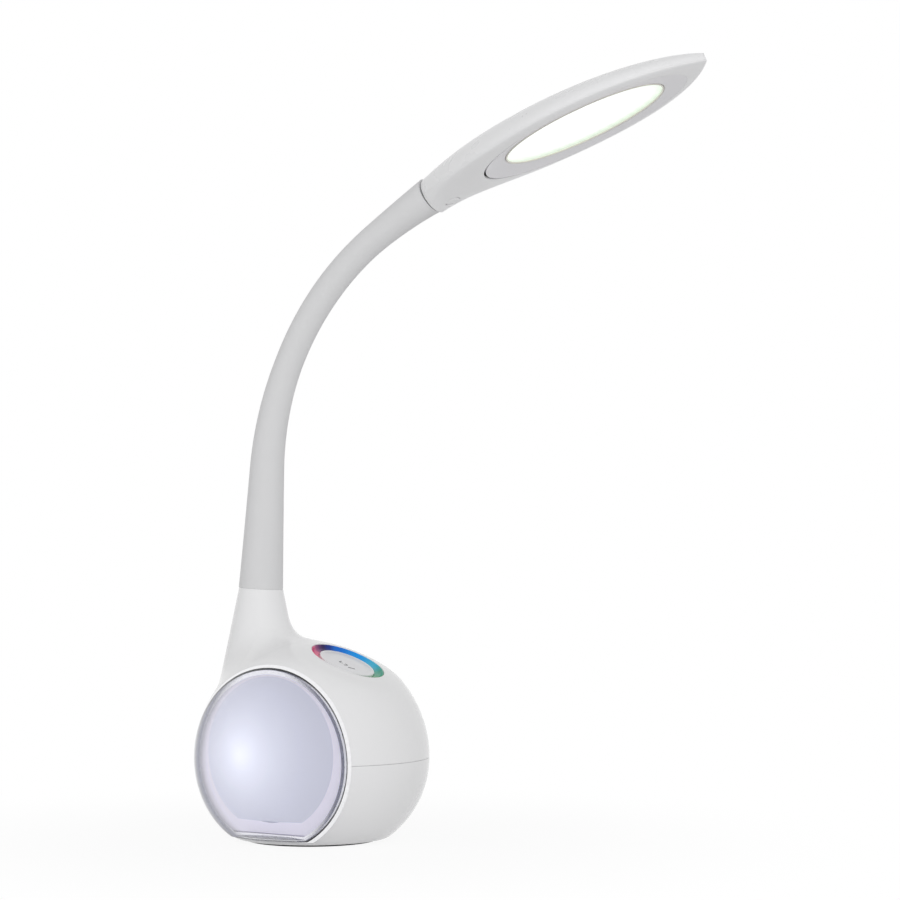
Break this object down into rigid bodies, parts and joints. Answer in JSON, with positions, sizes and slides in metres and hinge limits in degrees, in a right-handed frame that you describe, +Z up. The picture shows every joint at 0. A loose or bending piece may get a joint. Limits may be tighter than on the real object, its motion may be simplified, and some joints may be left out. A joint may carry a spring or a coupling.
{
  "type": "desk lamp",
  "caption": "Touch desk lamp with a weighted ball base, domed mood light, flexible neck and slim leaf-shaped light head.",
  "frame": {"origin": "centre of the round rubber pad's underside, on the desk", "axes": "+Z up, +X towards the head, clear dome on the -Y side"},
  "size_m": [0.2848, 0.12, 0.3829],
  "materials": {
    "gloss_shell": "high gloss white moulded plastic",
    "pad_rubber": "matte rubber",
    "screw_steel": "zinc-plated steel",
    "weight_iron": "painted cast iron",
    "circuit_board": "green solder mask on glass-fibre board",
    "black_parts": "black moulded plastic",
    "nylon": "natural nylon",
    "lead_jacket": "soft lead jacket",
    "clear_dome": "clear acrylic",
    "rim_bright": "bright plated ring",
    "frosted_lavender": "frosted diffuser with a cool lavender tint",
    "white_inner": "white moulded plastic",
    "led_lens": "phosphor lens",
    "touch_colours": "groove in rainbow colours, from red over blue to green",
    "touch_white": "white panel with two plain symbols",
    "brass_nut": "turned brass",
    "core_steel": "coiled steel",
    "sleeve_silicone": "matte pale grey silicone",
    "head_gloss": "gloss white moulded plastic",
    "head_cover_white": "satin white moulded plastic",
    "frame_white": "satin white moulded plastic",
    "rim_cream": "cream moulded plastic",
    "window_milky": "milky light panel",
    "board_white": "white solder mask on aluminium board",
    "spreader_alu": "plain rolled sheet"
  },
  "bodies": {
    "base": {"upper_shell": "gloss_shell", "lower_shell": "gloss_shell", "base_pad": "pad_rubber", "shell_screws": "screw_steel", "counterweight": "weight_iron", "main_board": "circuit_board", "main_board_parts": "black_parts", "board_spacers": "nylon", "board_screws": "screw_steel", "dc_jack": "black_parts", "dc_jack_pin": "screw_steel", "base_leads": "lead_jacket", "dome_cover": "clear_dome", "rim_ring": "rim_bright", "mood_diffuser": "frosted_lavender", "mood_reflector": "white_inner", "mood_board": "circuit_board", "mood_leds": "led_lens", "touch_ring": "touch_colours", "touch_disc": "touch_white", "touch_board": "circuit_board", "neck_washer": "screw_steel", "neck_nut": "brass_nut", "neck_core_foot": "core_steel", "neck_sleeve_foot": "sleeve_silicone"},
    "link_1": {"neck_core_1": "core_steel", "neck_sleeve_1": "sleeve_silicone"},
    "link_2": {"neck_core_2": "core_steel", "neck_sleeve_2": "sleeve_silicone"},
    "link_3": {"neck_core_3": "core_steel", "neck_sleeve_3": "sleeve_silicone"},
    "link_4": {"neck_core_4": "core_steel", "neck_sleeve_4": "sleeve_silicone"},
    "link_5": {"neck_core_5": "core_steel", "neck_sleeve_5": "sleeve_silicone"},
    "link_6": {"neck_core_6": "core_steel", "neck_sleeve_6": "sleeve_silicone"},
    "link_7": {"neck_core_7": "core_steel", "neck_sleeve_7": "sleeve_silicone"},
    "link_8": {"neck_core_8": "core_steel", "neck_sleeve_8": "sleeve_silicone"},
    "head": {"neck_core_head": "core_steel", "neck_sleeve_head": "sleeve_silicone", "head_shell": "head_gloss", "head_cover": "head_cover_white", "light_frame": "frame_white", "window_rim": "rim_cream", "light_panel": "window_milky", "led_tray": "white_inner", "led_board": "board_white", "led_chips": "led_lens", "heat_spreader": "spreader_alu", "neck_clamp": "black_parts", "head_screws": "screw_steel", "screw_plug": "head_cover_white", "head_leads": "lead_jacket"}
  },
  "joints": [
    {"name": "neck_bend_1", "type": "hinge", "parent": "base", "child": "link_1", "pos_m": [-0.0314, 0, 0.14567], "axis": [0, 1, 0], "range_deg": [-9, 9]},
    {"name": "neck_sway_2", "type": "hinge", "parent": "link_1", "child": "link_2", "pos_m": [-0.02987, 0, 0.17062], "axis": [-0.9981, 0, 0.0611], "range_deg": [-10, 10]},
    {"name": "neck_bend_3", "type": "hinge", "parent": "link_2", "child": "link_3", "pos_m": [-0.02823, 0, 0.19556], "axis": [0, 1, 0], "range_deg": [-9, 9]},
    {"name": "neck_sway_4", "type": "hinge", "parent": "link_3", "child": "link_4", "pos_m": [-0.02365, 0, 0.22011], "axis": [-0.9644, 0, 0.2646], "range_deg": [-10, 10]},
    {"name": "neck_bend_5", "type": "hinge", "parent": "link_4", "child": "link_5", "pos_m": [-0.01506, 0, 0.24356], "axis": [0, 1, 0], "range_deg": [-13, 13]},
    {"name": "neck_sway_6", "type": "hinge", "parent": "link_5", "child": "link_6", "pos_m": [-0.0027, 0, 0.26526], "axis": [-0.8247, 0, 0.5655], "range_deg": [-10, 10]},
    {"name": "neck_bend_7", "type": "hinge", "parent": "link_6", "child": "link_7", "pos_m": [0.01308, 0, 0.28461], "axis": [0, 1, 0], "range_deg": [-13, 13]},
    {"name": "neck_sway_8", "type": "hinge", "parent": "link_7", "child": "link_8", "pos_m": [0.03186, 0, 0.30107], "axis": [-0.5943, 0, 0.8043], "range_deg": [-10, 10]},
    {"name": "neck_bend_9", "type": "hinge", "parent": "link_8", "child": "head", "pos_m": [0.05288, 0, 0.31459], "axis": [0, 1, 0], "range_deg": [-13, 13]}
  ],
  "couplings": [
    {"joint": "neck_bend_3", "follows": "neck_bend_1", "ratio": 1},
    {"joint": "neck_bend_7", "follows": "neck_bend_5", "ratio": 1},
    {"joint": "neck_bend_9", "follows": "neck_bend_5", "ratio": 1},
    {"joint": "neck_sway_4", "follows": "neck_sway_2", "ratio": 1},
    {"joint": "neck_sway_6", "follows": "neck_sway_2", "ratio": 1},
    {"joint": "neck_sway_8", "follows": "neck_sway_2", "ratio": 1}
  ]
}
